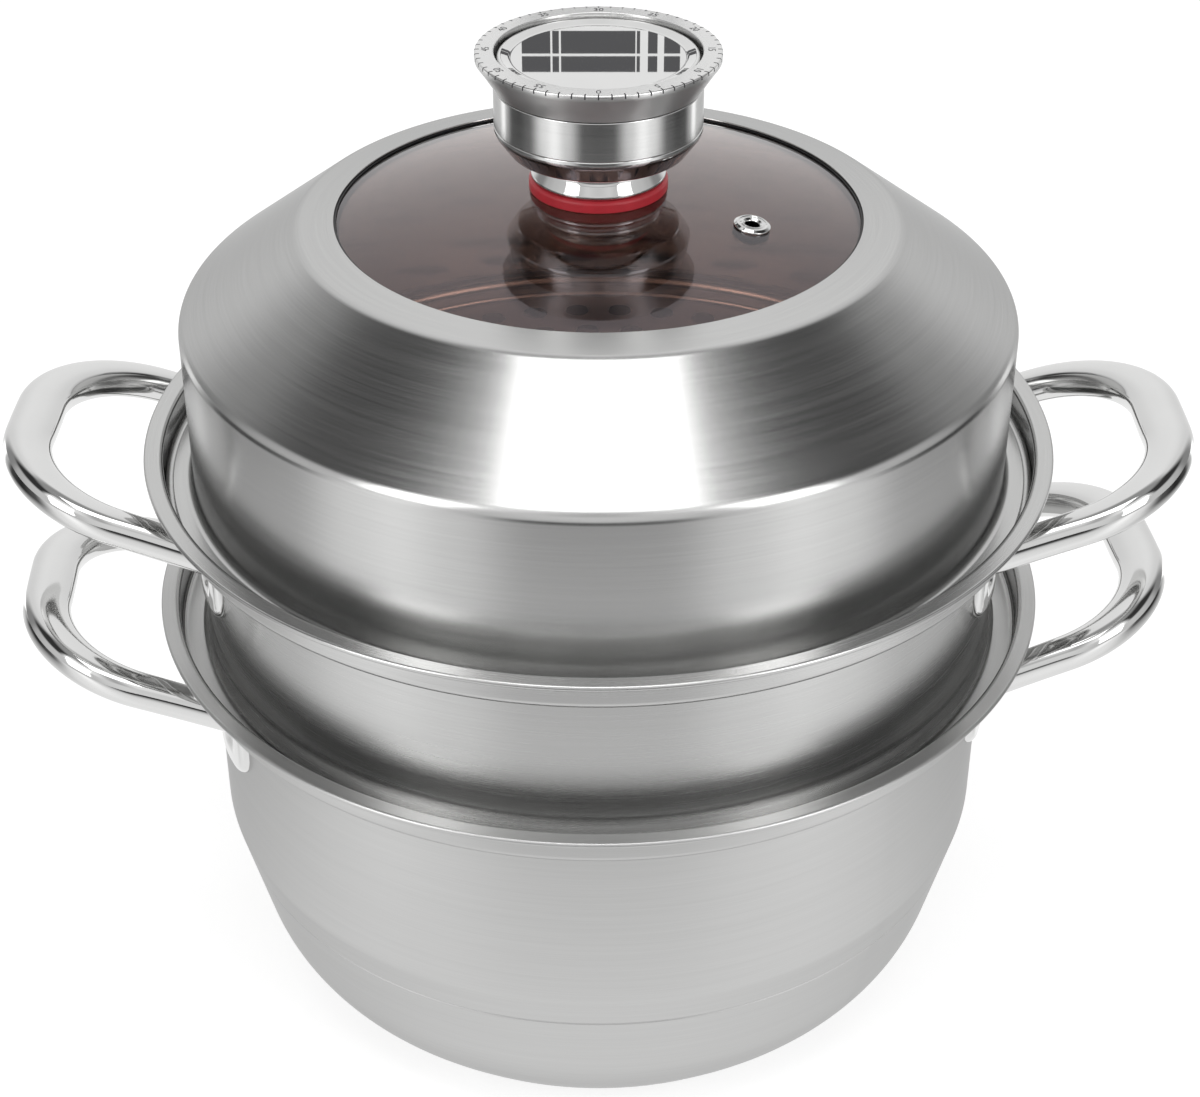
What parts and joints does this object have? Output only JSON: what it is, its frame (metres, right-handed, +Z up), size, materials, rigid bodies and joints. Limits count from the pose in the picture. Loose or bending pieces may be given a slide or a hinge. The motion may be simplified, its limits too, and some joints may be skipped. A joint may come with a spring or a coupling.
{
  "type": "food steamer",
  "caption": "Round stovetop food steamer: deep pot, steam tier with loop handles, perforated tray and cone-shouldered glass lid with a wind-up timer knob.",
  "frame": {"origin": "centre of the pot's flat base, on the surface it stands on", "axes": "+Z up along the pot's axis, +X towards the right handles, the picture is taken from -Y"},
  "size_m": [0.3924, 0.3, 0.3338],
  "materials": {
    "pot_steel": "satin, lightly brushed round",
    "tier_steel": "satin, brushed round",
    "lid_steel": "brushed round, semi-gloss",
    "inner_steel": "plain pressed sheet",
    "polished_steel": "mirror polished",
    "smoked_glass": "tea-tinted tempered glass",
    "black_silicone": "matt",
    "red_silicone": "satin",
    "core_aluminium": "as rolled",
    "movement_brass": "as stamped",
    "movement_steel": "turned",
    "bell_steel": "plated"
  },
  "bodies": {
    "pot": {"pot_shell": "pot_steel", "pot_base_core": "core_aluminium", "pot_base_cap": "inner_steel", "pot_handle_right": "polished_steel", "pot_handle_left": "polished_steel"},
    "tier": {"tier_shell": "tier_steel", "tier_handle_right": "polished_steel", "tier_handle_left": "polished_steel"},
    "tray": {"steam_tray": "inner_steel"},
    "lid": {"lid_shell": "lid_steel", "lid_glass": "smoked_glass", "glass_seal": "black_silicone", "glass_retaining_ring": "inner_steel", "vent_eyelet": "polished_steel", "vent_washer": "black_silicone", "knob_gasket": "red_silicone", "knob_neck": "polished_steel", "knob_drum": "polished_steel", "knob_inner_gasket": "black_silicone", "knob_washer": "movement_steel", "knob_screw": "movement_steel", "knob_nut": "movement_steel", "movement_base_plate": "movement_brass", "movement_top_plate": "movement_brass", "movement_pillars": "movement_brass", "mainspring": "movement_steel", "bell": "bell_steel", "bell_post": "movement_steel"},
    "dial": {"dial_ring": "polished_steel", "dial_cap": "polished_steel", "main_arbor": "movement_steel", "main_wheel": "movement_brass"},
    "second_wheel_body": {"second_wheel": "movement_brass"},
    "escape_wheel_body": {"escape_wheel": "movement_brass"},
    "pallet_body": {"pallet": "movement_steel"},
    "hammer_body": {"bell_hammer": "movement_steel"}
  },
  "joints": [
    {"name": "tier_lift", "type": "slide", "parent": "pot", "child": "tier", "axis": [0, 0, 1], "range_m": [0, 0.12]},
    {"name": "tray_lift", "type": "slide", "parent": "tier", "child": "tray", "axis": [0, 0, 1], "range_m": [0, 0.06]},
    {"name": "lid_lift", "type": "slide", "parent": "tray", "child": "lid", "axis": [0, 0, 1], "range_m": [0, 0.12]},
    {"name": "dial_turn", "type": "hinge", "parent": "lid", "child": "dial", "pos_m": [0, 0, 0.3127], "axis": [0, 0, -1], "range_deg": [0, 330]},
    {"name": "second_wheel_turn", "type": "hinge", "parent": "lid", "child": "second_wheel_body", "pos_m": [0.015, 0, 0.3127], "axis": [0, 0, -1], "range_deg": [-1330, 10]},
    {"name": "escape_wheel_turn", "type": "hinge", "parent": "lid", "child": "escape_wheel_body", "pos_m": [0.015, 0.01125, 0.3127], "axis": [0, 0, -1], "range_deg": [-40, 5320]},
    {"name": "pallet_rock", "type": "hinge", "parent": "lid", "child": "pallet_body", "pos_m": [0.00793, 0.01968, 0.3127], "axis": [0, 0, -1], "range_deg": [-2, 2]},
    {"name": "hammer_strike", "type": "hinge", "parent": "lid", "child": "hammer_body", "pos_m": [0.0065, -0.01126, 0.3065], "axis": [0, 0, -1], "range_deg": [0, 2]}
  ],
  "couplings": [
    {"joint": "second_wheel_turn", "follows": "dial_turn", "ratio": -4},
    {"joint": "escape_wheel_turn", "follows": "dial_turn", "ratio": 16}
  ]
}
